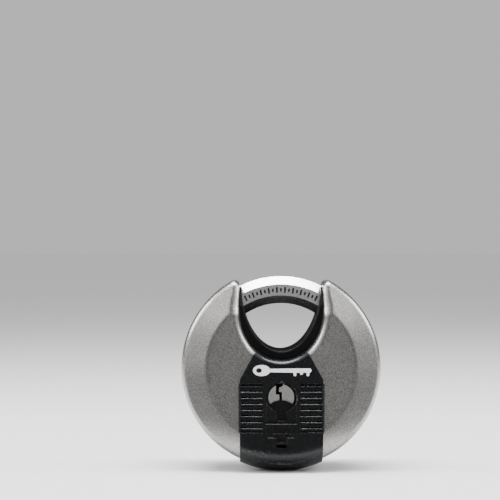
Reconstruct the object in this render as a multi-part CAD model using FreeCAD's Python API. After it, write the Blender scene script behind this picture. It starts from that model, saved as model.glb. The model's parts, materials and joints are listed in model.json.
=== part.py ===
import FreeCAD, Part
import math
import os

V = FreeCAD.Vector

# A disc padlock, in millimetres. X is to the right, Z up, and the front faces -Y.
# Shapes are made about the disc's middle plane, then moved so that the origin
# is the centre of the flat back. Angles about the disc's axis are measured from
# +X, counter-clockwise seen from the front.

# Disc body
DISC_R = 35.0
HALF_DEPTH = 13.0
CREST_R = 25.0
CREST_BEND = 4.0
BEVEL_DEG = 28.0
RIM_BEND = 3.2
WALL = 1.5
GAP = 0.1
SEAM_HALF = 0.3

# Notch under the shackle
NOTCH_HALF = 14.5
NOTCH_DEEP = 17.0
NOTCH_Z = 19.6
LIP_BEND = 3.0
TIP_BEND = 2.0
LINER_HALF = 14.0
LINER_DEEP = 23.1
LINER_Z = 29.0
LINER_HALF_DEPTH = 10.0
LINER_BEVEL_R = 26.0
LINER_R = 31.7
LINER_SIDE = 7.3
LINER_BEND = 0.4

# Shackle
BAR = 9.5
BAR_R = 27.25
TOE_DEG = 133.0
HEEL_DEG = 4.0
OPEN_DEG = 79.0
BAR_GAP = 0.3
STOP_DEG = 1.5
TOE_CHAMFER = 1.2
FLAT_HALF = BAR / 2 * math.tan(math.pi / 8)
MARK_DEEP = 0.2
MARK_COUNT = 19
MARK_PITCH_DEG = 3.0
MARK_HALF_DEG = 0.65
MARK_REACH = (1.0, 0.6)

# Cylinder
PLUG_Z = -10.0
PLUG_R = 4.8
PLUG_CHAMFER = 0.3
FIT = 0.05
FACE_Y = -10.9
PLUG_END = 4.5
HOUSING_R = 6.5
HOUSING_END = 4.4
MOUTH_R = 5.65
MOUTH_DEEP = 0.8
BIBLE_HALF = 3.3
BIBLE_Z = -25.0
STRIP_THICK = 0.7
STRIP_INSET = 0.5
FIXING_R = 0.9
FIXING_Y = -2.5
FIXING_BITE = 0.9
FIXING_END = 17.5

# Pins, counted from the front
PIN_R = 1.4
PIN_Y = -7.9
PIN_PITCH = 3.3
CHAMBER_TOP = 0.8
KEY_PINS = (3.1, 3.9, 2.8, 3.5)
KEY_PIN_LOW = PLUG_Z - PLUG_R + 0.25
KEY_PIN_POINT = 0.6
DRIVER_LONG = 4.0
DRIVER_TOP = PLUG_Z - PLUG_R - 0.1
DRIVER_CHAMFER = 0.25
SPRING_R = 1.0
SPRING_WIRE_R = 0.16
SPRING_TURNS = 6

# Key slot: its outline from the plug's centre, and how far back it goes
KEYWAY_END = 3.3
KEYWAY = (
    (-1.9, 5.5), (0.5, 5.5), (0.5, 4.0), (-0.8, 3.4), (-0.8, 1.9),
    (0.24, 1.9), (0.24, -3.6), (-0.67, -3.6), (-0.67, 1.0), (-1.9, 1.0),
)

# Gear pair: a pinion on the plug turns a toothed sector on the shackle
MODULE = 1.25
PINION_TEETH = 15
SECTOR_TEETH = 31
PRESSURE = math.radians(20)
BACKLASH = 0.12
FLANK_STEPS = 6
GEAR_FRONT = 5.25
GEAR_BACK = 7.2
PINION_PITCH_R = MODULE * PINION_TEETH / 2
SECTOR_PITCH_R = MODULE * SECTOR_TEETH / 2
SECTOR_TIP_R = 18.6
PLATE_START = -100.0
PLATE_END = -1.0
PLATE_OUT = 24.0
NECK_DEG = -14.0
PAD_END = 36.0
PAD_OUT = 30.6
PAD_IN = 23.6
TANG_HALF = 2.2
TANG_END = 7.15

# Fasteners
PLATE_SCREW_DEG = (12.0, 28.0)
PLATE_SCREW_R = 1.45
PLATE_SCREW_END = 0.3
PLATE_HEAD_R = 2.7
PLATE_HEAD_DEEP = 1.25
SOCKET_R = 0.9
SOCKET_DEEP = 0.8
GEAR_SCREW_R = 1.25
GEAR_SCREW_END = 4.2
GEAR_HEAD_R = 2.9
GEAR_HEAD_THICK = 1.5
RIVET_R = 1.25
RIVET_HEAD_R = 2.2
RIVET_HEAD_THICK = 1.0
RIVET_END = 9.0
RIVET_PLACES = ((14.2, -4.5), (-14.2, -4.5), (-12.3, -25.2), (-26.9, -7.2))

# Core layers
SPLIT_Y = BAR / 2 + BAR_GAP
CHAMBER_BACK = 7.5
CHAMBER_ROOM = 0.4
HEAD_POCKET_R = 3.5
HEAD_POCKET_END = 9.3

# Front cover
COVER_Y = -14.8
COVER_HALF = 14.45
COVER_SHOULDER_Z = -3.5
COVER_SHOULDER_BEND = 2.0
COVER_TIP_HALF = 9.05
COVER_TIP_Z = 6.3
COVER_CREASE_R = 28.0
COVER_BULGE = (32.9, -11.9)
COVER_RIM = (35.9, -7.5)
COVER_LIP_Y = -5.5
COVER_BEND = 2.9
COVER_FLANGE = 0.5
COVER_FLANGE_END = -10.15
KEYHOLE_R = 5.7
KEYHOLE_BACK_R = 5.0
SLOT_HALF = 1.75
SLOT_LOW = -27.05
TRACK_HALF = 5.05
TRACK_DEEP = 0.7
TRACK_TOP = -12.5
TRACK_LOW = -23.7
RIB_COUNT = 8
RIB_PITCH = 2.1
RIB_TOP_Z = -5.9
RIB_THICK = 0.8
RIB_IN = 6.4
RIB_OUT = 14.2
RIB_DRAFT = 0.15
RIB_CHAMFER = 0.38
FIELD_DEEP = 0.7
FIELD_TOP = -5.0
FIELD_LOW = -21.8
RAIL_OUT = 14.85
RAIL_Y = -14.5
RAIL_BACK = -11.0
STUD_R = 1.2
STUD_X = 10.3
STUD_ZS = (-2.0, -19.5)
STUD_ROOT = -13.6
STUD_END = -6.5

# Sliding door
WINDOW_HALF = 6.8
WINDOW_LOW = -22.6
DOOR_R = 6.2
DOOR_Z = -17.1
DOOR_FRONT = -12.4
DOOR_BACK = -11.2
STEM_HALF = 1.35
STEM_TOP = -17.7
STEM_LOW = -23.4
TAIL_HALF = 2.4
TAIL_LOW = -25.4
GRIP_HALF = 5.45
GRIP_TOP = -18.6
GRIP_LOW = -22.3
GRIP_BACK = -14.95
GRIP_FRONT = -16.1
GRIP_BEND = 0.35
DISH_HALF = 3.1
DISH_TOP = -19.4
DISH_LOW = -21.9
DISH_DEEP = 0.6

AXIS = V(0, 1, 0)
CENTRE = V(0, 0, 0)
FAR = 45.0
NEAR_ZERO = 0.01


# Helpers

def write(name, shape):
    """Move a finished piece to the row's origin and write it"""
    placed = shape.copy()
    placed.translate(V(0, -HALF_DEPTH, 0))
    placed.exportStep("parts/" + name + ".step")


def box(x0, x1, y0, y1, z0, z1):
    return Part.makeBox(x1 - x0, y1 - y0, z1 - z0, V(x0, y0, z0))


def rod(x, z, radius, y0, y1):
    """Cylinder along Y"""
    return Part.makeCylinder(radius, y1 - y0, V(x, y0, z), AXIS)


def up_rod(y, radius, z0, z1):
    """Cylinder along Z on the lock's middle line"""
    return Part.makeCylinder(radius, z1 - z0, V(0, y, z0))


def polar(radius, deg):
    a = math.radians(deg)
    return V(radius * math.cos(a), 0, radius * math.sin(a))


def closed(points):
    return Part.makePolygon(points + points[:1])


def slab(wire, y0, y1):
    """Extrude an outline drawn in the XZ plane"""
    face = Part.Face(wire)
    face.translate(V(0, y0, 0))
    return face.extrude(V(0, y1 - y0, 0))


def sweep(section, start, end):
    """Turn a section drawn in the XY plane about the disc's axis"""
    face = Part.Face(section)
    face.rotate(CENTRE, AXIS, -start)
    return face.revolve(CENTRE, -AXIS, end - start)


def ring(r0, r1, y0, y1, start, end):
    """Part of a flat ring"""
    corners = [V(r0, y0, 0), V(r1, y0, 0), V(r1, y1, 0), V(r0, y1, 0)]
    return sweep(closed(corners), start, end)


def fused(shapes):
    whole = shapes[0]
    for shape in shapes[1:]:
        whole = whole.fuse(shape)
    return whole.removeSplitter()


def spline(points):
    curve = Part.BSplineCurve()
    curve.interpolate(points)
    return curve.toShape()


# Disc envelope and notch

def side_profile(set_in):
    """Edges of half a section, from the axis to the rim, and its point at the rim"""
    lean = math.radians(BEVEL_DEG)
    crest_end = CREST_R + CREST_BEND * math.sin(lean)
    rim_start = DISC_R - RIM_BEND * (1 - math.sin(lean))
    drop = CREST_BEND * (1 - math.cos(lean)) + (rim_start - crest_end) * math.tan(lean)
    crest_c = V(CREST_R, CREST_BEND - HALF_DEPTH, 0)
    rim_c = V(DISC_R - RIM_BEND, drop + RIM_BEND * math.cos(lean) - HALF_DEPTH, 0)

    def on(centre, radius, angle):
        return centre + V(math.sin(angle), -math.cos(angle), 0) * radius

    def arc(centre, radius, start, end):
        middle = on(centre, radius, (start + end) / 2)
        return Part.Arc(on(centre, radius, start), middle, on(centre, radius, end)).toShape()

    crest_r, rim_r = CREST_BEND - set_in, RIM_BEND - set_in
    edges = [
        Part.makeLine(V(0, set_in - HALF_DEPTH, 0), on(crest_c, crest_r, 0)),
        arc(crest_c, crest_r, 0, lean),
        Part.makeLine(on(crest_c, crest_r, lean), on(rim_c, rim_r, lean)),
        arc(rim_c, rim_r, lean, math.pi / 2),
    ]
    return edges, on(rim_c, rim_r, math.pi / 2)


def disc(set_in):
    """The whole disc's envelope, set in evenly"""
    front, rim = side_profile(set_in)
    back = [edge.mirror(CENTRE, AXIS) for edge in front]
    flat_y = HALF_DEPTH - set_in
    ends = [
        Part.makeLine(rim, V(rim.x, -rim.y, 0)),
        Part.makeLine(V(0, -flat_y, 0), V(0, flat_y, 0)),
    ]
    wire = Part.Wire(Part.__sortEdges__(front + back + ends))
    return Part.Face(wire).revolve(CENTRE, AXIS, 360)


def notch(half, deep, middle_z):
    """A notch as a prism: straight sides above half an ellipse"""
    centre = V(0, 0, middle_z)
    ellipse = Part.Ellipse(V(0, 0, middle_z - deep), V(half, 0, middle_z), centre)
    bottom = Part.ArcOfEllipse(ellipse, -math.pi / 2, math.pi / 2).toShape()
    left, right = sorted((v.Point for v in bottom.Vertexes), key=lambda p: p.x)
    top = Part.makePolygon([right, V(right.x, 0, FAR), V(left.x, 0, FAR), left])
    return slab(Part.Wire([bottom] + top.Edges), -FAR, FAR)


def steel_notch(set_in=0.0):
    return notch(NOTCH_HALF + set_in, NOTCH_DEEP + set_in, NOTCH_Z)


def lies_on_notch(edge, half, deep, middle_z):
    """Whether an edge follows a notch's outline"""
    for p in edge.discretize(5):
        if p.z >= middle_z:
            off = abs(p.x) / half - 1
        else:
            off = (p.x / half) ** 2 + ((p.z - middle_z) / deep) ** 2 - 1
        if abs(off) > NEAR_ZERO:
            return False
    return True


def notched_disc(set_in):
    """The disc with the notch cut out and its edges rolled, more tightly at the ear tips"""
    body = disc(set_in).cut(steel_notch(set_in)).removeSplitter()
    rim = DISC_R - set_in - NEAR_ZERO
    lean = math.sin(math.radians(BEVEL_DEG))
    cone_end = DISC_R - RIM_BEND + (RIM_BEND - set_in) * lean - NEAR_ZERO
    document = FreeCAD.newDocument()
    base = document.addObject("Part::Feature", "base")
    base.Shape = body
    rolled = []
    for number, edge in enumerate(base.Shape.Edges, 1):
        ends = [edge.valueAt(edge.FirstParameter), edge.valueAt(edge.LastParameter)]
        reach = [math.hypot(p.x, p.z) for p in ends]
        runs_through = abs(ends[0].y - ends[1].y) > DISC_R / 2 and max(reach) < rim
        if lies_on_notch(edge, NOTCH_HALF + set_in, NOTCH_DEEP + set_in, NOTCH_Z) and not runs_through:
            bends = [(TIP_BEND if r > cone_end else LIP_BEND) - set_in for r in reach]
            rolled.append((number, bends[0], bends[1]))
    fillet = document.addObject("Part::Fillet", "fillet")
    fillet.Base = base
    fillet.Edges = rolled
    document.recompute()
    shape = fillet.Shape.copy()
    FreeCAD.closeDocument(document.Name)
    return shape


def window(y0, y1):
    """Opening for the door and the cylinder"""
    return fused([
        rod(0, PLUG_Z, WINDOW_HALF, y0, y1),
        rod(0, WINDOW_LOW, WINDOW_HALF, y0, y1),
        box(-WINDOW_HALF, WINDOW_HALF, y0, y1, WINDOW_LOW, PLUG_Z),
    ])


# Shells and liner

def shells():
    """Drawn steel front and back, welded at the middle plane"""
    groove = closed([V(DISC_R - SEAM_HALF, 0, 0), V(DISC_R + GAP, -SEAM_HALF - GAP, 0),
                     V(DISC_R + GAP, SEAM_HALF + GAP, 0)])
    skin = notched_disc(0).cut(notched_disc(WALL)).cut(channel()).cut(sweep(groove, 0, 360))
    front = skin.common(box(-FAR, FAR, -FAR, 0, -FAR, FAR)).cut(window(-FAR, 0))
    for hole in studs(STUD_R + GAP, -FAR, 0):
        front = front.cut(hole)
    rear = skin.common(box(-FAR, FAR, 0, FAR, -FAR, FAR))
    return front, rear


def liner():
    """Collar inside the notch, with a hole in each side for the bar"""
    band = steel_notch(-FIT).cut(notch(LINER_HALF, LINER_DEEP, LINER_Z))
    deep = LINER_HALF_DEPTH
    drum = [V(0, -deep, 0), V(LINER_BEVEL_R, -deep, 0), V(LINER_R, -LINER_SIDE, 0)]
    drum += [V(LINER_R, LINER_SIDE, 0), V(LINER_BEVEL_R, deep, 0), V(0, deep, 0)]
    band = band.common(Part.Face(closed(drum)).revolve(CENTRE, AXIS, 360)).removeSplitter()
    edges = []
    for edge in band.Edges:
        on_flat = abs(abs(edge.CenterOfMass.y) - deep) < NEAR_ZERO
        if on_flat and lies_on_notch(edge, LINER_HALF, LINER_DEEP, LINER_Z):
            edges.append(edge)
    return band.makeFillet(LINER_BEND, edges).cut(channel())


# Shackle

def octagon(across):
    """Section of the shackle, or of its channel"""
    radius = across / 2 / math.cos(math.pi / 8)
    corners = []
    for i in range(8):
        a = math.pi / 8 + i * math.pi / 4
        corners.append(V(BAR_R + radius * math.cos(a), radius * math.sin(a), 0))
    return closed(corners)


def channel():
    """Space the shackle runs in, with room at both of its stops"""
    end = HEEL_DEG - OPEN_DEG - STOP_DEG
    return sweep(octagon(BAR + 2 * BAR_GAP), end, TOE_DEG + STOP_DEG)


def marks():
    """A row of plain engraved ticks on the front flat, long and short in turn"""
    cutters = []
    floor = -BAR / 2 + MARK_DEEP
    first = 90 - MARK_PITCH_DEG * (MARK_COUNT - 1) / 2
    for i in range(MARK_COUNT):
        mid = first + i * MARK_PITCH_DEG
        reach = MARK_REACH[i % 2]
        start, end = mid - MARK_HALF_DEG, mid + MARK_HALF_DEG
        cutters.append(ring(BAR_R - reach, BAR_R + reach, -BAR, floor, start, end))
    return cutters


def shackle():
    bar = sweep(octagon(BAR), HEEL_DEG, TOE_DEG)
    toe = []
    for edge in bar.Edges:
        turns = [math.degrees(math.atan2(p.z, p.x)) for p in edge.discretize(3)]
        if all(abs(turn - TOE_DEG) < NEAR_ZERO for turn in turns):
            toe.append(edge)
    bar = bar.makeChamfer(TOE_CHAMFER, toe)
    for deg in PLATE_SCREW_DEG:
        p = polar(BAR_R, deg)
        bar = bar.cut(rod(p.x, p.z, PLATE_SCREW_R + FIT, 0, FAR))
    for mark in marks():
        bar = bar.cut(mark)
    return bar


# Core

def cylinder_space():
    """Room in the core for the cylinder housing"""
    half = BIBLE_HALF + FIT
    return fused([
        rod(0, PLUG_Z, HOUSING_R + FIT, -FAR, SPLIT_Y),
        box(-half, half, -FAR, HOUSING_END + FIT, BIBLE_Z - FIT, PLUG_Z),
    ])


def gear_chamber():
    """Room behind the shackle for the gear and the toothed plate"""
    y0, y1 = SPLIT_Y, CHAMBER_BACK
    swing = OPEN_DEG + STOP_DEG
    return fused([
        rod(0, PLUG_Z, PINION_PITCH_R + MODULE + CHAMBER_ROOM, y0, y1),
        ring(PAD_IN - CHAMBER_ROOM, PAD_OUT + CHAMBER_ROOM, y0, y1, NECK_DEG - swing, PAD_END + STOP_DEG),
        ring(SECTOR_TIP_R - CHAMBER_ROOM, PLATE_OUT + CHAMBER_ROOM, y0, y1, PLATE_START - swing,
             PLATE_END + STOP_DEG),
        rod(0, PLUG_Z, HEAD_POCKET_R, y0, HEAD_POCKET_END),
    ])


def pad_slot():
    """Slot through the core for the pad between the toothed plate and the shackle"""
    half = FLAT_HALF + GAP
    low = HEEL_DEG - OPEN_DEG - STOP_DEG
    return ring(BAR_R - half, BAR_R + half, 0, SPLIT_Y, low, PAD_END + STOP_DEG)


def rivet(x, z, grow=0.0):
    head_r = RIVET_HEAD_R + grow
    return fused([
        rod(x, z, RIVET_R + grow, -RIVET_END, RIVET_END),
        rod(x, z, head_r, -RIVET_END, RIVET_HEAD_THICK - RIVET_END),
        rod(x, z, head_r, RIVET_END - RIVET_HEAD_THICK, RIVET_END),
    ])


def core():
    """Cast block in three layers: two hold the bar's channel, the last closes the gears in"""
    body = notched_disc(WALL + GAP)
    cutters = [channel(), cylinder_space(), window(-FAR, FACE_Y), gear_chamber(), pad_slot(), fixing_pin(FIT)]
    for x, z in RIVET_PLACES:
        cutters.append(rivet(x, z, FIT))
        cutters.append(rod(x, z, RIVET_HEAD_R + FIT, -FAR, -RIVET_END))
        cutters.append(rod(x, z, RIVET_HEAD_R + FIT, RIVET_END, FAR))
    cutters += studs(STUD_R + GAP, -FAR, STUD_END + GAP)
    for cutter in cutters:
        body = body.cut(cutter)
    spans = {"core_front": (-FAR, 0), "core_middle": (0, SPLIT_Y), "core_rear": (SPLIT_Y, FAR)}
    return {name: body.common(box(-FAR, FAR, y0, y1, -FAR, FAR)) for name, (y0, y1) in spans.items()}


# Gears

def involute(base, radius):
    """Angle that an involute turns through between its base circle and a radius"""
    if radius <= base:
        return 0.0
    a = math.acos(base / radius)
    return math.tan(a) - a


def gear_outline(teeth, root, tip, extra):
    """Outline of a gear with a tooth pointing down; extra is added to each tooth's thickness"""
    pitch = MODULE * teeth / 2
    base = pitch * math.cos(PRESSURE)
    half = math.pi / 2 / teeth + extra / 2 / pitch + involute(base, pitch)
    low = max(root, base)
    radii = [low + (tip - low) * i / FLANK_STEPS for i in range(FLANK_STEPS + 1)]

    def at(radius, angle):
        return V(radius * math.cos(angle), 0, radius * math.sin(angle))

    edges = []
    feet = []
    for k in range(teeth):
        mid = 2 * math.pi * k / teeth - math.pi / 2
        rise = [at(r, mid - half + involute(base, r)) for r in radii]
        fall = [at(r, mid + half - involute(base, r)) for r in reversed(radii)]
        foot_in, foot_out = rise[0], fall[-1]
        if root < base:
            foot_in, foot_out = at(root, mid - half), at(root, mid + half)
            edges.append(Part.makeLine(foot_in, rise[0]))
            edges.append(Part.makeLine(fall[-1], foot_out))
        edges += [spline(rise), Part.makeLine(rise[-1], fall[0]), spline(fall)]
        feet.append((foot_in, foot_out))
    for k in range(teeth):
        edges.append(Part.makeLine(feet[k - 1][1], feet[k][0]))
    return Part.Wire(Part.__sortEdges__(edges))


def drive_gear():
    """Pinion on the plug's tail"""
    root = PINION_PITCH_R - 1.25 * MODULE
    tip = PINION_PITCH_R + 0.9 * MODULE
    gear = slab(gear_outline(PINION_TEETH, root, tip, -BACKLASH), GEAR_FRONT, GEAR_BACK)
    gear.translate(V(0, 0, PLUG_Z))
    return gear.cut(tang(FIT))


def drive_plate():
    """Internally toothed sector with a pad that sits on the shackle's rear flat"""
    root = SECTOR_PITCH_R + 1.15 * MODULE
    spaces = gear_outline(SECTOR_TEETH, SECTOR_TIP_R - MODULE, root, BACKLASH)
    arm = ring(SECTOR_TIP_R, PLATE_OUT, GEAR_FRONT, GEAR_BACK, PLATE_START, PLATE_END)
    plate = fused([
        arm.cut(slab(spaces, GEAR_FRONT - 1, GEAR_BACK + 1)),
        ring(root + GAP, PAD_OUT, GEAR_FRONT, GEAR_BACK, NECK_DEG, PLATE_END),
        ring(PAD_IN, PAD_OUT, GEAR_FRONT, GEAR_BACK, NECK_DEG, PAD_END),
        ring(BAR_R - FLAT_HALF, BAR_R + FLAT_HALF, BAR / 2, GEAR_FRONT, HEEL_DEG, PAD_END),
    ])
    for deg in PLATE_SCREW_DEG:
        plate = plate.cut(plate_screw(deg, FIT))
    return plate


def plate_screw(deg, grow=0.0):
    p = polar(BAR_R, deg)
    top = V(p.x, GEAR_BACK - PLATE_HEAD_DEEP, p.z)
    return fused([
        rod(p.x, p.z, PLATE_SCREW_R + grow, PLATE_SCREW_END - grow, GEAR_BACK),
        Part.makeCone(PLATE_SCREW_R + grow, PLATE_HEAD_R + grow, PLATE_HEAD_DEEP, top, AXIS),
    ])


def plate_screws():
    screws = []
    for deg in PLATE_SCREW_DEG:
        corners = [polar(BAR_R, deg) + polar(SOCKET_R, 60 * i) for i in range(6)]
        socket = slab(closed(corners), GEAR_BACK - SOCKET_DEEP, GEAR_BACK + 1)
        screws.append(plate_screw(deg).cut(socket))
    return Part.makeCompound(screws)


def gear_screw():
    end = GEAR_BACK + GEAR_HEAD_THICK
    screw = fused([
        rod(0, PLUG_Z, GEAR_SCREW_R, GEAR_SCREW_END, GEAR_BACK),
        rod(0, PLUG_Z, GEAR_HEAD_R, GEAR_BACK, end),
    ])
    rim = [e for e in screw.Edges if abs(e.CenterOfMass.y - end) < NEAR_ZERO]
    slot_half = GEAR_HEAD_THICK / 4
    slot = box(-slot_half, slot_half, end - GEAR_HEAD_THICK / 2, FAR, -FAR, FAR)
    return screw.makeChamfer(GEAR_HEAD_THICK / 4, rim).cut(slot)


# Cylinder

def pin_ys():
    return [PIN_Y + i * PIN_PITCH for i in range(len(KEY_PINS))]


def tang(grow=0.0):
    """Square tail that the drive gear sits on"""
    half = TANG_HALF + grow
    return box(-half, half, PLUG_END, TANG_END + grow, PLUG_Z - half, PLUG_Z + half)


def plug():
    body = rod(0, PLUG_Z, PLUG_R, FACE_Y, PLUG_END)
    rim = [e for e in body.Edges if abs(e.CenterOfMass.y - FACE_Y) < NEAR_ZERO]
    body = fused([body.makeChamfer(PLUG_CHAMFER, rim), tang()])
    slot = slab(closed([V(x, 0, PLUG_Z + z) for x, z in KEYWAY]), -FAR, KEYWAY_END)
    body = body.cut(slot)
    for y in pin_ys():
        body = body.cut(up_rod(y, PIN_R + FIT, -FAR, PLUG_Z + CHAMBER_TOP))
    return body.cut(rod(0, PLUG_Z, GEAR_SCREW_R + FIT, GEAR_SCREW_END - GAP, FAR))


def housing():
    body = fused([
        rod(0, PLUG_Z, HOUSING_R, FACE_Y, HOUSING_END),
        box(-BIBLE_HALF, BIBLE_HALF, FACE_Y, HOUSING_END, BIBLE_Z + STRIP_THICK, PLUG_Z),
    ])
    body = body.cut(rod(0, PLUG_Z, PLUG_R + FIT, -FAR, FAR))
    for y in pin_ys():
        body = body.cut(up_rod(y, PIN_R + FIT, -FAR, PLUG_Z))
    mouth = Part.makeCone(MOUTH_R, PLUG_R + FIT, MOUTH_DEEP, V(0, FACE_Y, PLUG_Z), AXIS)
    return body.cut(mouth).cut(fixing_pin(FIT))


def chamber_strip():
    """Strip that closes the pin chambers"""
    half = BIBLE_HALF - STRIP_INSET
    y0, y1 = FACE_Y + STRIP_INSET, HOUSING_END - STRIP_INSET
    return box(-half, half, y0, y1, BIBLE_Z, BIBLE_Z + STRIP_THICK)


def fixing_pin(grow=0.0):
    """Cross pin that keeps the housing in the core"""
    start = HOUSING_R - FIXING_BITE - grow
    length = FIXING_END + grow - start
    return Part.makeCylinder(FIXING_R + grow, length, V(start, FIXING_Y, PLUG_Z), V(1, 0, 0))


def key_pin(y, length):
    pin = up_rod(y, PIN_R, KEY_PIN_LOW, KEY_PIN_LOW + length)
    top = [e for e in pin.Edges if abs(e.CenterOfMass.z - KEY_PIN_LOW - length) < NEAR_ZERO]
    return pin.makeChamfer(KEY_PIN_POINT, top)


def driver_pin(y):
    pin = up_rod(y, PIN_R, DRIVER_TOP - DRIVER_LONG, DRIVER_TOP)
    ends = [e for e in pin.Edges if len(e.Vertexes) == 1]
    return pin.makeChamfer(DRIVER_CHAMFER, ends)


def driver_spring(y):
    """Helical wire between a driver pin and the chamber strip"""
    low = BIBLE_Z + STRIP_THICK + SPRING_WIRE_R
    height = DRIVER_TOP - DRIVER_LONG - SPRING_WIRE_R - low
    helix = Part.makeHelix(height / SPRING_TURNS, height, SPRING_R)
    wire = Part.Wire(Part.makeCircle(SPRING_WIRE_R, V(SPRING_R, 0, 0), AXIS))
    coil = Part.Wire(helix).makePipeShell([wire], True, True)
    coil.translate(V(0, y, low))
    return coil


# Front cover

def studs(radius, y0, y1):
    """Posts on the cover's back, and the holes for them"""
    return [rod(x, z, radius, y0, y1) for x in (-STUD_X, STUD_X) for z in STUD_ZS]


def cover_skin():
    """Outer skin of the cover as a turned solid: flat face, crease, bevel and rim lip"""
    face_c, crease = V(0, COVER_Y, 0), V(COVER_CREASE_R, COVER_Y, 0)
    rim, lip = V(*COVER_RIM, 0), V(COVER_RIM[0], COVER_LIP_Y, 0)
    bevel = Part.Arc(crease, V(*COVER_BULGE, 0), rim).toShape()
    rest = Part.makePolygon([rim, lip, V(0, COVER_LIP_Y, 0), face_c, crease])
    return Part.Face(Part.Wire(Part.__sortEdges__([bevel] + rest.Edges))).revolve(CENTRE, AXIS, 360)


def cover_prism():
    """Outline of the cover, with rounded shoulders"""
    outline = []
    for side in (-1, 1):
        half = [(COVER_HALF, -FAR), (COVER_HALF, COVER_SHOULDER_Z), (COVER_TIP_HALF, COVER_TIP_Z)]
        points = [V(side * x, 0, z) for x, z in half]
        outline += points if side < 0 else points[::-1]
    prism = slab(closed(outline), -FAR, FAR)
    shoulders = []
    for edge in prism.Edges:
        middle = edge.CenterOfMass
        if abs(middle.y) < NEAR_ZERO and abs(middle.z - COVER_SHOULDER_Z) < NEAR_ZERO:
            shoulders.append(edge)
    return prism.makeFillet(COVER_SHOULDER_BEND, shoulders)


def rib_field(side):
    """Sunken field with ribs left standing in it"""
    floor = COVER_Y + FIELD_DEEP
    x0, x1 = sorted((side * RIB_IN, side * RIB_OUT))
    field = box(x0, x1, -FAR, floor, FIELD_LOW, FIELD_TOP)
    for i in range(RIB_COUNT):
        top = RIB_TOP_Z - i * RIB_PITCH + RIB_THICK / 2
        low = top - RIB_THICK
        front = [(COVER_Y + RIB_CHAMFER, top), (COVER_Y, top - RIB_CHAMFER), (COVER_Y, low)]
        section = front + [(floor, low - RIB_DRAFT), (floor, top + RIB_DRAFT)]
        rib = Part.Face(closed([V(x0, y, z) for y, z in section]))
        field = field.cut(rib.extrude(V(x1 - x0, 0, 0)))
    return field


def cover():
    """Moulded cover, with a flange that wraps over the notch's lip down to the liner"""
    body = cover_skin().common(cover_prism()).cut(steel_notch(-COVER_FLANGE)).removeSplitter()
    half, deep = NOTCH_HALF - COVER_FLANGE, NOTCH_DEEP - COVER_FLANGE
    rolled = []
    for edge in body.Edges:
        if lies_on_notch(edge, half, deep, NOTCH_Z) and edge.CenterOfMass.y < COVER_Y + GAP:
            rolled.append(edge)
    body = body.makeFillet(COVER_BEND, rolled)
    body = body.cut(steel_notch().common(box(-FAR, FAR, COVER_FLANGE_END, FAR, -FAR, FAR)))
    rails = []
    for side in (-1, 1):
        x0, x1 = sorted((side * RIB_OUT, side * RAIL_OUT))
        rails.append(box(x0, x1, RAIL_Y, RAIL_BACK, FIELD_LOW, FIELD_TOP))
    body = fused([body] + rails)
    body = body.cut(notched_disc(-FIT)).cut(window(DOOR_FRONT - GAP, 0))
    for side in (-1, 1):
        body = body.cut(rib_field(side))
    back = COVER_Y + KEYHOLE_R - KEYHOLE_BACK_R
    keyhole = Part.makeCone(KEYHOLE_R, KEYHOLE_BACK_R, back - COVER_Y, V(0, COVER_Y, PLUG_Z), AXIS)
    body = body.cut(keyhole).cut(rod(0, PLUG_Z, KEYHOLE_BACK_R, -FAR, 0))
    body = body.cut(box(-TRACK_HALF, TRACK_HALF, -FAR, COVER_Y + TRACK_DEEP, TRACK_LOW, TRACK_TOP))
    body = body.cut(box(-SLOT_HALF, SLOT_HALF, -FAR, 0, SLOT_LOW, PLUG_Z))
    return fused([body] + studs(STUD_R, STUD_ROOT, STUD_END))


# Sliding door

def door():
    """Shutter behind the cover, with the stem that passes through the slot"""
    return fused([
        rod(0, DOOR_Z, DOOR_R, DOOR_FRONT, DOOR_BACK),
        box(-TAIL_HALF, TAIL_HALF, DOOR_FRONT, DOOR_BACK, TAIL_LOW, DOOR_Z),
        box(-STEM_HALF, STEM_HALF, GRIP_BACK, DOOR_BACK, STEM_LOW, STEM_TOP),
    ])


def grip():
    """Thumb grip on the stem's front end"""
    pad = box(-GRIP_HALF, GRIP_HALF, GRIP_FRONT, GRIP_BACK, GRIP_LOW, GRIP_TOP)
    front = [e for e in pad.Edges if abs(e.CenterOfMass.y - GRIP_FRONT) < NEAR_ZERO]
    pad = pad.makeFillet(GRIP_BEND, front)
    return pad.cut(box(-DISH_HALF, DISH_HALF, -FAR, GRIP_FRONT + DISH_DEEP, DISH_LOW, DISH_TOP))


def main():
    os.makedirs("parts", exist_ok=True)
    front, rear = shells()
    write("front_shell", front)
    write("rear_shell", rear)
    for name, layer in core().items():
        write(name, layer)
    write("core_rivets", Part.makeCompound([rivet(x, z) for x, z in RIVET_PLACES]))
    write("notch_liner", liner())
    write("front_cover", cover())
    write("cylinder_housing", housing())
    write("cylinder_pin", fixing_pin())
    write("chamber_strip", chamber_strip())
    write("plug", plug())
    write("drive_gear", drive_gear())
    write("gear_screw", gear_screw())
    for i, y in enumerate(pin_ys()):
        number = str(i + 1)
        write("key_pin_" + number, key_pin(y, KEY_PINS[i]))
        write("driver_pin_" + number, driver_pin(y))
        write("driver_spring_" + number, driver_spring(y))
    write("shackle", shackle())
    write("drive_plate", drive_plate())
    write("drive_plate_screws", plate_screws())
    write("keyway_door", door())
    write("door_grip", grip())


main()
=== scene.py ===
import bpy
import bmesh
import json
import math
from mathutils import Matrix, Vector


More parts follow.
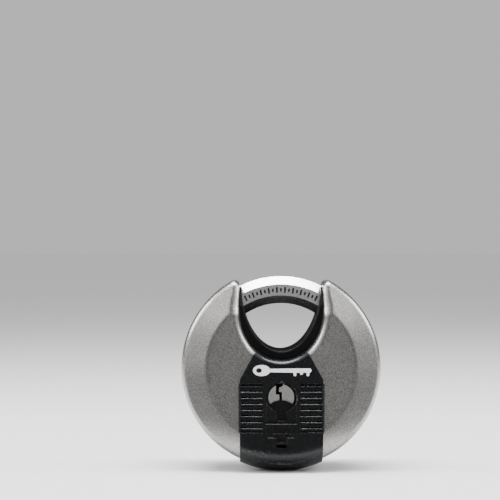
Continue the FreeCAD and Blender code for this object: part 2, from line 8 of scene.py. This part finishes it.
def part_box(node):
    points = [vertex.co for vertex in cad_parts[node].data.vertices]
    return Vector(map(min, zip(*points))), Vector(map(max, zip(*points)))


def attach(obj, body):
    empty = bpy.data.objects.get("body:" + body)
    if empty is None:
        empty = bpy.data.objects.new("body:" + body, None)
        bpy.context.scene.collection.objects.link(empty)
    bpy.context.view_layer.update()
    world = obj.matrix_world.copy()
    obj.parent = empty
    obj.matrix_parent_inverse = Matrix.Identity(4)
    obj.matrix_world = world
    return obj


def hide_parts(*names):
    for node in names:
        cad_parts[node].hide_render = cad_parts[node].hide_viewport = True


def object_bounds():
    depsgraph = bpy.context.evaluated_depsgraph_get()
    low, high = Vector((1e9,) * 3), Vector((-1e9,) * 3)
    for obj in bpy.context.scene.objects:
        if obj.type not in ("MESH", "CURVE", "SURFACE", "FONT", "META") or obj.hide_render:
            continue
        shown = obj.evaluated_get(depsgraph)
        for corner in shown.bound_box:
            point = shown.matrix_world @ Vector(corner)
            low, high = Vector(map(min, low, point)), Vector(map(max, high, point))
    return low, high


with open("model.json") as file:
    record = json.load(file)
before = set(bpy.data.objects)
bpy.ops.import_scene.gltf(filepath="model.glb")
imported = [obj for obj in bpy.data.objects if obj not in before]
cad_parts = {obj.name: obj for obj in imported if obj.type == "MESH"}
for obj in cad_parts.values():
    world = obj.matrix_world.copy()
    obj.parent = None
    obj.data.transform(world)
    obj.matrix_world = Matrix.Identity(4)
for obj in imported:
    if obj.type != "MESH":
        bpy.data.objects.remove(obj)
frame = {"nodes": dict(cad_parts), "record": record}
cad_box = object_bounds()
NODES = frame["nodes"]

MM = 0.001

# Places taken from the frame
shell_low, shell_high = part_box("front_shell")
cover_low, cover_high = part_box("front_cover")
plug_low, plug_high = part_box("plug")
bar_low, bar_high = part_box("shackle")
DISC_R = (shell_high.x - shell_low.x) / 2
MID = Vector((0, shell_high.y, 0))
COVER_FACE = cover_low.y
PLUG_FACE = plug_low.y
PLUG_Z = (plug_low.z + plug_high.z) / 2
BAR_FRONT = bar_low.y
FLOOR_Z = cad_box[0].z


# ---- node helper

class Graph:
    """Builds one material's nodes with short calls"""

    def __init__(self, name):
        self.material = bpy.data.materials.new(name)
        self.material.use_nodes = True
        self.nodes = self.material.node_tree.nodes
        self.links = self.material.node_tree.links
        self.nodes.clear()
        self.out = self.nodes.new("ShaderNodeOutputMaterial")
        self.shader = self.nodes.new("ShaderNodeBsdfPrincipled")
        self.links.new(self.shader.outputs[0], self.out.inputs[0])
        coords = self.nodes.new("ShaderNodeTexCoord")
        self.place = coords.outputs["Object"]
        self.facing = coords.outputs["Normal"]

    def put(self, socket, value):
        if isinstance(value, bpy.types.NodeSocket):
            self.links.new(value, socket)
        else:
            socket.default_value = value

    def set(self, **values):
        """Set shader sockets, with _ for spaces"""
        for name, value in values.items():
            self.put(self.shader.inputs[name.replace("_", " ")], value)

    def math(self, operation, a, b=0.0, c=0.0):
        node = self.nodes.new("ShaderNodeMath")
        node.operation = operation
        for socket, value in zip(node.inputs, (a, b, c)):
            self.put(socket, value)
        return node.outputs[0]

    def noise(self, size, detail=3.0, rough=0.55, where=None):
        """Cloudy texture whose blotches are about this size in metres"""
        node = self.nodes.new("ShaderNodeTexNoise")
        self.put(node.inputs["Vector"], where or self.place)
        node.inputs["Scale"].default_value = 1 / size
        node.inputs["Detail"].default_value = detail
        node.inputs["Roughness"].default_value = rough
        return node.outputs["Fac"]

    def span(self, value, low, high, to_low=0.0, to_high=1.0):
        node = self.nodes.new("ShaderNodeMapRange")
        for socket, item in zip(node.inputs, (value, low, high, to_low, to_high)):
            self.put(socket, item)
        return node.outputs[0]

    def mix(self, share, a, b):
        node = self.nodes.new("ShaderNodeMix")
        node.data_type = "RGBA"
        self.put(node.inputs[0], share)
        self.put(node.inputs[6], a)
        self.put(node.inputs[7], b)
        return node.outputs[2]

    def xyz(self, where=None):
        node = self.nodes.new("ShaderNodeSeparateXYZ")
        self.put(node.inputs[0], where or self.place)
        return node.outputs

    def vector(self, x, y, z):
        node = self.nodes.new("ShaderNodeCombineXYZ")
        for socket, value in zip(node.inputs, (x, y, z)):
            self.put(socket, value)
        return node.outputs[0]

    def radius(self, centre_z=0.0):
        """Distance from an axis along Y through x = 0"""
        x, _, z = self.xyz()
        up = self.math("SUBTRACT", z, centre_z)
        squares = [self.math("POWER", self.math("ABSOLUTE", side), 2.0) for side in (x, up)]
        return self.math("POWER", self.math("ADD", *squares), 0.5)

    def edge_highlight_share(self, low, high):
        """Share of painted edge highlight, 1 on raised edges of a finely divided mesh"""
        node = self.nodes.new("ShaderNodeNewGeometry")
        return self.span(node.outputs["Pointiness"], low, high)

    def bump(self, height, strength, depth):
        node = self.nodes.new("ShaderNodeBump")
        self.put(node.inputs["Height"], height)
        node.inputs["Strength"].default_value = strength
        node.inputs["Distance"].default_value = depth
        previous = self.shader.inputs["Normal"]
        if previous.is_linked:
            self.links.new(previous.links[0].from_socket, node.inputs["Normal"])
        self.links.new(node.outputs[0], previous)


def grey(value, tint=(1.0, 1.0, 1.0)):
    return tuple(value * t for t in tint) + (1.0,)


# ---- materials

def blasted_steel():
    """Stainless sheet with a blasted grain, faint handling scratches and a dull weld line"""
    g = Graph("blasted_steel")
    warm = (1.0, 0.985, 0.95)
    grain = g.noise(0.3 * MM, 2, 0.6)
    cloud = g.noise(9 * MM, 4)
    x, y, z = g.xyz()
    strokes = g.vector(g.math("MULTIPLY", g.math("ADD", x, z), 0.06), y, g.math("SUBTRACT", z, x))
    scratch = g.span(g.noise(0.25 * MM, 2, 0.5, strokes), 0.62, 0.72)
    weld = g.span(g.math("ABSOLUTE", g.math("SUBTRACT", y, MID.y)), 0.2 * MM, 1.0 * MM, 1.0, 0.0)
    rim = g.math("MULTIPLY", weld, g.span(g.radius(), DISC_R - 2 * MM, DISC_R - 0.6 * MM))
    tone = g.mix(g.span(grain, 0.38, 0.62), grey(0.22, warm), grey(0.56, warm))
    tone = g.mix(g.span(cloud, 0.3, 0.7, 0, 0.3), tone, grey(0.34, warm))
    tone = g.mix(g.math("MULTIPLY", scratch, 0.25), tone, grey(0.72, warm))
    tone = g.mix(g.math("MULTIPLY", rim, 0.6), tone, grey(0.24, (1.0, 0.93, 0.84)))
    rough = g.span(grain, 0.3, 0.7, 0.30, 0.38)
    rough = g.math("SUBTRACT", rough, g.math("MULTIPLY", scratch, 0.06))
    g.set(Base_Color=tone, Metallic=1.0, Roughness=rough)
    g.bump(grain, 0.3, 0.02 * MM)
    g.bump(g.noise(0.8 * MM, 2), 0.12, 0.05 * MM)
    return g.material


def plated_bar():
    """Plated steel bar, brushed along its bend, with black paint in its engraved ticks"""
    g = Graph("plated_bar")
    x, y, z = g.xyz()
    turn = g.math("ARCTAN2", z, x)
    around = g.vector(g.math("MULTIPLY", turn, 2 * MM), y, g.radius())
    brushed = g.noise(0.14 * MM, 3, 0.6, around)
    cloud = g.noise(5 * MM, 4)
    grain = g.noise(0.3 * MM, 2, 0.7)
    tone = g.mix(g.span(brushed, 0.3, 0.7), grey(0.52), grey(0.70))
    tone = g.mix(g.span(cloud, 0.35, 0.7, 0, 0.3), tone, grey(0.42, (1.0, 0.98, 0.94)))
    deep = g.span(g.math("SUBTRACT", y, BAR_FRONT), 0.08 * MM, 0.14 * MM)
    not_deeper = g.span(g.math("SUBTRACT", y, BAR_FRONT), 0.3 * MM, 0.4 * MM, 1.0, 0.0)
    front = g.span(g.xyz(g.facing)[1], -0.97, -0.9, 1.0, 0.0)
    paint_share = g.math("MULTIPLY", g.math("MULTIPLY", deep, not_deeper), front)
    tone = g.mix(paint_share, tone, grey(0.012))
    shine = g.span(brushed, 0.3, 0.7, 0.24, 0.34)
    g.set(Base_Color=tone, Metallic=g.math("SUBTRACT", 1.0, paint_share),
          Roughness=g.math("ADD", shine, g.math("MULTIPLY", paint_share, 0.3)))
    g.bump(brushed, 0.18, 0.02 * MM)
    g.bump(grain, 0.12, 0.02 * MM)
    return g.material


def moulded(name, colour, rough, grain_size, grain_strength, shine, edge=None):
    """Moulded black plastic with a spark-eroded grain, faint mottling and a patchy painted highlight on
    its sharp edges
    """
    g = Graph(name)
    pits = g.noise(grain_size, 3, 0.65)
    cloud = g.noise(7 * MM, 4)
    base = colour + (1.0,)
    light = tuple(c * 1.7 for c in colour) + (1.0,)
    tone = g.mix(g.span(cloud, 0.35, 0.7, 0, 0.6), base, light)
    tone = g.mix(g.span(pits, 0.55, 0.75, 0, 0.5), tone, light)
    if edge:
        # Painted highlight: sharp edges are painted a lighter, cool grey in patches, standing in for the
        # light they catch
        edge_highlight = g.math("MULTIPLY", g.edge_highlight_share(*edge), g.span(g.noise(1.1 * MM, 4), 0.35, 0.6))
        tone = g.mix(g.math("MULTIPLY", edge_highlight, 0.6), tone, grey(0.12, (0.95, 1.0, 1.1)))
    g.set(Base_Color=tone, Specular_IOR_Level=shine,
          Roughness=g.span(pits, 0.3, 0.7, rough - 0.07, rough + 0.1))
    g.bump(pits, grain_strength, 0.05 * MM)
    return g.material


def turned_nickel():
    """Nickel-plated plug: turned rings on its face, and painted shade that darkens its key slot inwards
    """
    g = Graph("turned_nickel")
    rings = g.noise(0.12 * MM, 2, 0.6, g.vector(g.radius(PLUG_Z), 0.0, 0.0))
    cloud = g.noise(2 * MM, 3)
    # Painted shade: the key slot is painted darker and rougher the deeper it goes into the plug
    slot_shade = g.span(g.math("SUBTRACT", g.xyz()[1], PLUG_FACE), 0.35 * MM, 1.4 * MM)
    tone = g.mix(g.span(cloud, 0.3, 0.7), grey(0.66, (1.0, 0.99, 0.95)), grey(0.80, (1.0, 0.99, 0.96)))
    tone = g.mix(slot_shade, tone, grey(0.05, (1.0, 0.88, 0.7)))
    g.set(Base_Color=tone, Metallic=1.0, Roughness=g.span(slot_shade, 0, 1, 0.26, 0.5))
    g.bump(rings, 0.22, 0.02 * MM)
    return g.material


def inner_metal(name, colour, rough, grain_size=0.6 * MM):
    """Machined or cast inner metal with uneven tone"""
    g = Graph(name)
    grain = g.noise(grain_size, 3)
    cloud = g.noise(2.5 * MM, 4)
    light = tuple(min(1.0, c * 1.25) for c in colour) + (1.0,)
    tone = g.mix(g.span(cloud, 0.3, 0.7), colour + (1.0,), light)
    g.set(Base_Color=tone, Metallic=1.0, Roughness=g.span(grain, 0.3, 0.7, rough - 0.06, rough + 0.1))
    g.bump(grain, 0.15, 0.03 * MM)
    return g.material


def white_print():
    """Slightly uneven white printing ink"""
    g = Graph("white_print")
    cover = g.noise(0.4 * MM, 3)
    g.set(Base_Color=g.mix(g.span(cover, 0.35, 0.65), grey(0.74), grey(0.86)),
          Roughness=g.span(cover, 0.3, 0.7, 0.45, 0.6))
    g.bump(cover, 0.1, 0.02 * MM)
    return g.material


# Colours of the black plastics, and the range of edge sharpness over which their edges get a painted
# highlight
COVER_BLACK = (0.0016, 0.0019, 0.0028)
LINER_BLACK = (0.0016, 0.0017, 0.0019)
DOOR_BLACK = (0.0012, 0.0014, 0.0020)
EDGE_HIGHLIGHT_RANGE = (0.52, 0.58)

MATERIALS = {
    "shell_steel": blasted_steel(),
    "shackle_steel": plated_bar(),
    "cover_plastic": moulded("cover_moulding", COVER_BLACK, 0.27, 0.35 * MM, 0.08, 0.38, EDGE_HIGHLIGHT_RANGE),
    "liner_plastic": moulded("liner_moulding", LINER_BLACK, 0.50, 0.7 * MM, 0.6, 0.20),
    "door_plastic": moulded("door_moulding", DOOR_BLACK, 0.26, 0.3 * MM, 0.07, 0.34, EDGE_HIGHLIGHT_RANGE),
    # Painted shade: the zinc core is made dark grey all over, standing in for the shadow where it shows
    # through the door's slot
    "core_casting": inner_metal("zinc_casting", (0.16, 0.165, 0.17), 0.5),
    "plug_nickel": turned_nickel(),
    # Painted shade: the housing's brass is made nearly black all over, standing in for the shadow inside
    # the keyhole
    "housing_brass": inner_metal("housing_brass", (0.10, 0.075, 0.035), 0.42),
    "pin_brass": inner_metal("pin_brass", (0.75, 0.52, 0.18), 0.22),
    "pin_steel": inner_metal("pin_steel", (0.55, 0.55, 0.56), 0.25),
    "spring_steel": inner_metal("spring_steel", (0.50, 0.50, 0.52), 0.25, 0.3 * MM),
    "gear_steel": inner_metal("gear_steel", (0.42, 0.42, 0.43), 0.4),
    "fastener_steel": inner_metal("fastener_steel", (0.48, 0.48, 0.49), 0.35),
}


def paint(obj, material):
    obj.data.materials.clear()
    obj.data.materials.append(material)


for part in frame["record"]["subparts"]:
    paint(NODES[part["node"]], MATERIALS[part["material_slot"]])


# ---- pieces

def new_object(name, mesh):
    piece = bpy.data.objects.new(name, mesh)
    bpy.context.scene.collection.objects.link(piece)
    return piece


def finished(piece):
    """The piece's mesh with its modifiers worked out"""
    graph = bpy.context.evaluated_depsgraph_get()
    return bpy.data.meshes.new_from_object(piece.evaluated_get(graph))


# Corners of the CAD mesh closer than this, in millimetres, are one corner
WELD = 1e-4


def softened(node, name, voxel, rounds, body):
    """A finely divided copy of a CAD piece with its sharp edges rounded, which takes its place

    It is worked in millimetres; voxel is the size of its divisions, and rounds how often it is smoothed.
    """
    source = NODES[node]
    rough = source.data.copy()
    rough.transform(Matrix.Scale(1 / MM, 4))
    welded = bmesh.new()
    welded.from_mesh(rough)
    bmesh.ops.remove_doubles(welded, verts=welded.verts, dist=WELD)
    welded.to_mesh(rough)
    welded.free()
    draft = new_object("draft", rough)
    remesh = draft.modifiers.new("remesh", "REMESH")
    remesh.mode = "VOXEL"
    remesh.voxel_size = voxel
    smooth = draft.modifiers.new("smooth", "SMOOTH")
    smooth.factor = 0.5
    smooth.iterations = rounds
    mesh = finished(draft)
    bpy.data.objects.remove(draft)
    mesh.transform(Matrix.Scale(MM, 4))
    for face in mesh.polygons:
        face.use_smooth = True
    piece = new_object(name, mesh)
    paint(piece, source.data.materials[0])
    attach(piece, body)
    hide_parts(node)
    return piece


def arc(cx, cz, rx, rz, start, end, steps):
    """Points along part of an ellipse, in millimetres and degrees"""
    turns = [math.radians(start + (end - start) * i / steps) for i in range(steps + 1)]
    return [(cx + rx * math.cos(a), cz + rz * math.sin(a)) for a in turns]


# Printed key, in millimetres: its ends and height on the cover, bow, shaft and teeth
KEY_LEFT, KEY_RIGHT, KEY_Z = -9.9, 10.4, -0.3
BOW_HALF_LONG, BOW_HALF_HIGH, BOW_OPEN_DEG = 3.0, 1.9, 17
HOLE_SHIFT, HOLE_HALF_LONG, HOLE_HALF_HIGH = 0.9, 1.05, 0.85
SHAFT_HALF, KEY_TIP = 0.72, 0.5
TOOTH_COUNT, TOOTH_LONG, TOOTH_SHORT, TOOTH_WIDE, TOOTH_SLOPE = 3, 1.9, 1.4, 1.0, 0.1
TEETH_START, TOOTH_PITCH = 6.3, 2.25
INK_HALF_THICK, INK_BEVEL = 0.06 * MM, 0.02 * MM


def key_outline():
    """Corners of the key's outer edge"""
    bow_x = KEY_LEFT + BOW_HALF_LONG
    low = KEY_Z - SHAFT_HALF
    corners = arc(bow_x, KEY_Z, BOW_HALF_LONG, BOW_HALF_HIGH, BOW_OPEN_DEG, 360 - BOW_OPEN_DEG, 40)
    corners += [(KEY_RIGHT - TEETH_START, low)]
    for i in range(TOOTH_COUNT):
        x = KEY_RIGHT - TEETH_START + TOOTH_PITCH * i
        end = x + TOOTH_WIDE
        foot = KEY_Z - (TOOTH_SHORT if i % 2 else TOOTH_LONG)
        corners += [(x, low), (x + TOOTH_SLOPE, foot), (end - TOOTH_SLOPE, foot), (end, low)]
    tip_x = KEY_RIGHT - KEY_TIP
    return corners + [(tip_x, low), (KEY_RIGHT, KEY_Z), (tip_x, KEY_Z + SHAFT_HALF)]


def key_emblem():
    """A plain key printed in white on the cover"""
    hole = arc(KEY_LEFT + BOW_HALF_LONG - HOLE_SHIFT, KEY_Z, HOLE_HALF_LONG, HOLE_HALF_HIGH, 0, 352, 30)
    data = bpy.data.curves.new("key_emblem", "CURVE")
    data.dimensions = "2D"
    data.fill_mode = "BOTH"
    data.extrude = INK_HALF_THICK
    data.bevel_depth = INK_BEVEL
    data.bevel_resolution = 2
    for loop in (key_outline(), hole):
        spline = data.splines.new("POLY")
        spline.points.add(len(loop) - 1)
        for point, (x, z) in zip(spline.points, loop):
            point.co = (x * MM, z * MM, 0, 1)
        spline.use_cyclic_u = True
    draft = new_object("draft", data)
    mesh = finished(draft)
    bpy.data.objects.remove(draft)
    mesh.transform(Matrix.Translation((0, COVER_FACE, 0)) @ Matrix.Rotation(math.pi / 2, 4, "X"))
    piece = new_object("key_emblem", mesh)
    paint(piece, white_print())
    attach(piece, "lock_body")


softened("front_cover", "cover_moulding", 0.15, 4, "lock_body")
softened("door_grip", "grip_moulding", 0.07, 4, "door")
softened("keyway_door", "door_moulding", 0.1, 3, "door")
key_emblem()


# ---- studio

FLOOR_TONE = 0.8
FLOOR_REACH = 30.0
OVERHEAD = 2.2
ROOM_DIM = 0.06

# Name, place, width, height and radiance
SOFTBOXES = (
    ("left_box", (-0.62, -0.34, 0.16), 0.42, 0.7, 0.68),
    ("right_box", (0.62, -0.32, 0.14), 0.42, 0.7, 0.44),
    ("upper_left_box", (-0.38, -0.34, 0.42), 0.35, 0.35, 1.5),
    ("upper_right_box", (0.38, -0.34, 0.42), 0.35, 0.35, 1.6),
    ("left_rim", (-0.55, -0.02, 0.32), 0.25, 0.3, 13.0),
    ("right_rim", (0.55, -0.02, 0.32), 0.25, 0.3, 13.0),
    ("top_strip", (0, -0.07, 0.5), 0.6, 0.1, 34.0),
    ("front_fill", (0.04, -0.75, 0.07), 0.4, 0.16, 0.7),
)

# The grey card's half width, near and far ends, top, height over the floor, and tone
CARD_HALF, CARD_NEAR, CARD_FAR, CARD_TOP = 0.5, -0.03, -0.8, 0.35
CARD_LIFT = 0.002
CARD_TONE = 0.11

CAMERA_X, CAMERA_Z, CAMERA_DISTANCE = -0.0109, 0.0413, 0.5
LENS, SENSOR = 101.2, 36.0


def softbox(name, place, width, height, radiance):
    """Rectangular light aimed at the lock"""
    data = bpy.data.lights.new(name, "AREA")
    data.shape = "RECTANGLE"
    data.size = width
    data.size_y = height
    data.energy = radiance * math.pi * width * height
    lamp = new_object(name, data)
    lamp.location = place
    lamp.rotation_euler = (MID - Vector(place)).to_track_quat("-Z", "Y").to_euler()


def sky_light():
    """Wide overhead light, the same all over the floor"""
    data = bpy.data.lights.new("overhead", "SUN")
    data.energy = OVERHEAD
    data.angle = math.radians(40)
    lamp = new_object("overhead", data)
    lamp.rotation_euler = (math.radians(-8), math.radians(-6), 0)


def room():
    """Dim room with a pale background"""
    world = bpy.data.worlds.new("pale_room")
    bpy.context.scene.world = world
    world.use_nodes = True
    tree = world.node_tree
    tree.nodes.clear()
    rays = tree.nodes.new("ShaderNodeLightPath")
    mixed = tree.nodes.new("ShaderNodeMixShader")
    out = tree.nodes.new("ShaderNodeOutputWorld")
    tree.links.new(rays.outputs["Is Camera Ray"], mixed.inputs[0])
    for number, radiance in ((1, ROOM_DIM), (2, FLOOR_TONE * (OVERHEAD / math.pi + ROOM_DIM))):
        background = tree.nodes.new("ShaderNodeBackground")
        background.inputs[0].default_value = grey(radiance)
        tree.links.new(background.outputs[0], mixed.inputs[number])
    tree.links.new(mixed.outputs[0], out.inputs[0])


def floor():
    mesh = bpy.data.meshes.new("floor")
    signs = ((-1, -1), (1, -1), (1, 1), (-1, 1))
    corners = [(x * FLOOR_REACH, y * FLOOR_REACH, FLOOR_Z) for x, y in signs]
    mesh.from_pydata(corners, [], [(0, 1, 2, 3)])
    piece = new_object("floor", mesh)
    g = Graph("floor_paper")
    g.set(Base_Color=grey(FLOOR_TONE), Roughness=0.9, Specular_IOR_Level=0.1)
    paint(piece, g.material)


def dark_flag():
    """Dark grey card on the floor in front and up behind the camera, seen only in reflections"""
    low = FLOOR_Z + CARD_LIFT
    mesh = bpy.data.meshes.new("dark_flag")
    rows = [(CARD_NEAR, low), (CARD_FAR, low), (CARD_FAR, CARD_TOP)]
    corners = [(x, y, z) for y, z in rows for x in (-CARD_HALF, CARD_HALF)]
    mesh.from_pydata(corners, [], [(0, 1, 3, 2), (2, 3, 5, 4)])
    piece = new_object("dark_flag", mesh)
    g = Graph("flag_cloth")
    g.set(Base_Color=grey(CARD_TONE), Roughness=1.0, Specular_IOR_Level=0.0)
    paint(piece, g.material)
    piece.visible_camera = False
    piece.visible_shadow = False
    piece.visible_diffuse = False


def studio():
    floor()
    room()
    sky_light()
    dark_flag()
    for box in SOFTBOXES:
        softbox(*box)


def camera():
    """Level, a little left of and above the disc's centre, half a metre from its middle plane"""
    data = bpy.data.cameras.new("camera")
    data.sensor_width = SENSOR
    data.lens = LENS
    cam = new_object("camera", data)
    cam.location = (CAMERA_X, MID.y - CAMERA_DISTANCE, CAMERA_Z)
    cam.rotation_euler = (math.pi / 2, 0, 0)
    bpy.context.scene.camera = cam


studio()
camera()
